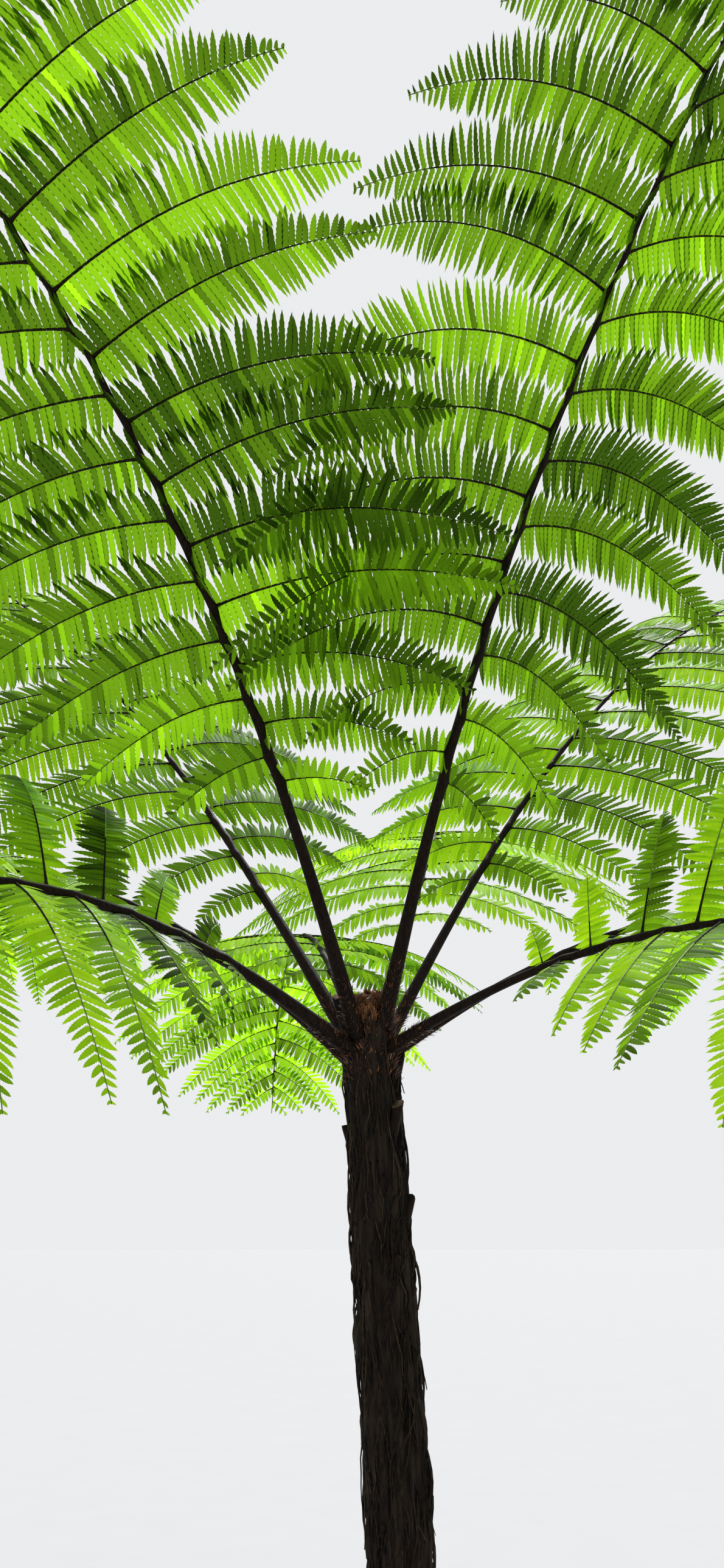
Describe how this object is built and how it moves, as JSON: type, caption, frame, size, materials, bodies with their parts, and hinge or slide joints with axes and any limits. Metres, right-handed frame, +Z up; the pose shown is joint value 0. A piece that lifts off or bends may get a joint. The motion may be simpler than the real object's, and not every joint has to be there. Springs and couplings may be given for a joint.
{
  "type": "tree fern",
  "caption": "Slender tree fern rooted in the ground: a dark fibrous trunk that leans a little and an open crown of long arching fronds on black stalks.",
  "frame": {"origin": "middle of the flat cut under the trunk, at ground level", "axes": "+Z up along the trunk; -Y is the front of the crown as pictured, +X to the right seen from the front"},
  "size_m": [3.4237, 3.4551, 3.6231],
  "materials": {
    "trunk_bark": "dark brown to black fibrous trunk, matt, rough with old frond bases and matted rootlets",
    "frond_stalk": "black-brown stalks and ribs, smooth with small rough warts, low satin sheen",
    "crozier_scales": "rust-brown papery scales and hairs on the furled young fronds, matt",
    "frond_leaf": "thin green leaflets, bright yellow-green where light comes through, satin"
  },
  "bodies": {
    "root": {"trunk": "trunk_bark", "crozier_1": "crozier_scales", "crozier_2": "crozier_scales", "crozier_3": "crozier_scales", "front_left_frond_stipe": "frond_stalk", "front_right_frond_stipe": "frond_stalk", "back_frond_stipe": "frond_stalk", "back_right_frond_stipe": "frond_stalk", "back_left_frond_stipe": "frond_stalk", "low_right_frond_stipe": "frond_stalk", "low_left_frond_stipe": "frond_stalk", "side_right_frond_stipe": "frond_stalk", "side_left_frond_stipe": "frond_stalk", "low_back_frond_stipe": "frond_stalk", "broken_stipe": "frond_stalk", "front_left_frond_left_lower": "frond_leaf", "front_left_frond_left_upper": "frond_leaf", "front_left_frond_right_lower": "frond_leaf", "front_left_frond_right_upper": "frond_leaf", "front_right_frond_left_lower": "frond_leaf", "front_right_frond_left_upper": "frond_leaf", "front_right_frond_right_lower": "frond_leaf", "front_right_frond_right_upper": "frond_leaf", "back_frond_left_lower": "frond_leaf", "back_frond_left_upper": "frond_leaf", "back_frond_right_lower": "frond_leaf", "back_frond_right_upper": "frond_leaf", "back_right_frond_left_lower": "frond_leaf", "back_right_frond_left_upper": "frond_leaf", "back_right_frond_right_lower": "frond_leaf", "back_right_frond_right_upper": "frond_leaf", "back_left_frond_left_lower": "frond_leaf", "back_left_frond_left_upper": "frond_leaf", "back_left_frond_right_lower": "frond_leaf", "back_left_frond_right_upper": "frond_leaf", "low_right_frond_left_lower": "frond_leaf", "low_right_frond_left_upper": "frond_leaf", "low_right_frond_right_lower": "frond_leaf", "low_right_frond_right_upper": "frond_leaf", "low_left_frond_left_lower": "frond_leaf", "low_left_frond_left_upper": "frond_leaf", "low_left_frond_right_lower": "frond_leaf", "low_left_frond_right_upper": "frond_leaf", "side_right_frond_left_lower": "frond_leaf", "side_right_frond_left_upper": "frond_leaf", "side_right_frond_right_lower": "frond_leaf", "side_right_frond_right_upper": "frond_leaf", "side_left_frond_left_lower": "frond_leaf", "side_left_frond_left_upper": "frond_leaf", "side_left_frond_right_lower": "frond_leaf", "side_left_frond_right_upper": "frond_leaf", "low_back_frond_left_lower": "frond_leaf", "low_back_frond_left_upper": "frond_leaf", "low_back_frond_right_lower": "frond_leaf", "low_back_frond_right_upper": "frond_leaf"}
  },
  "joints": []
}
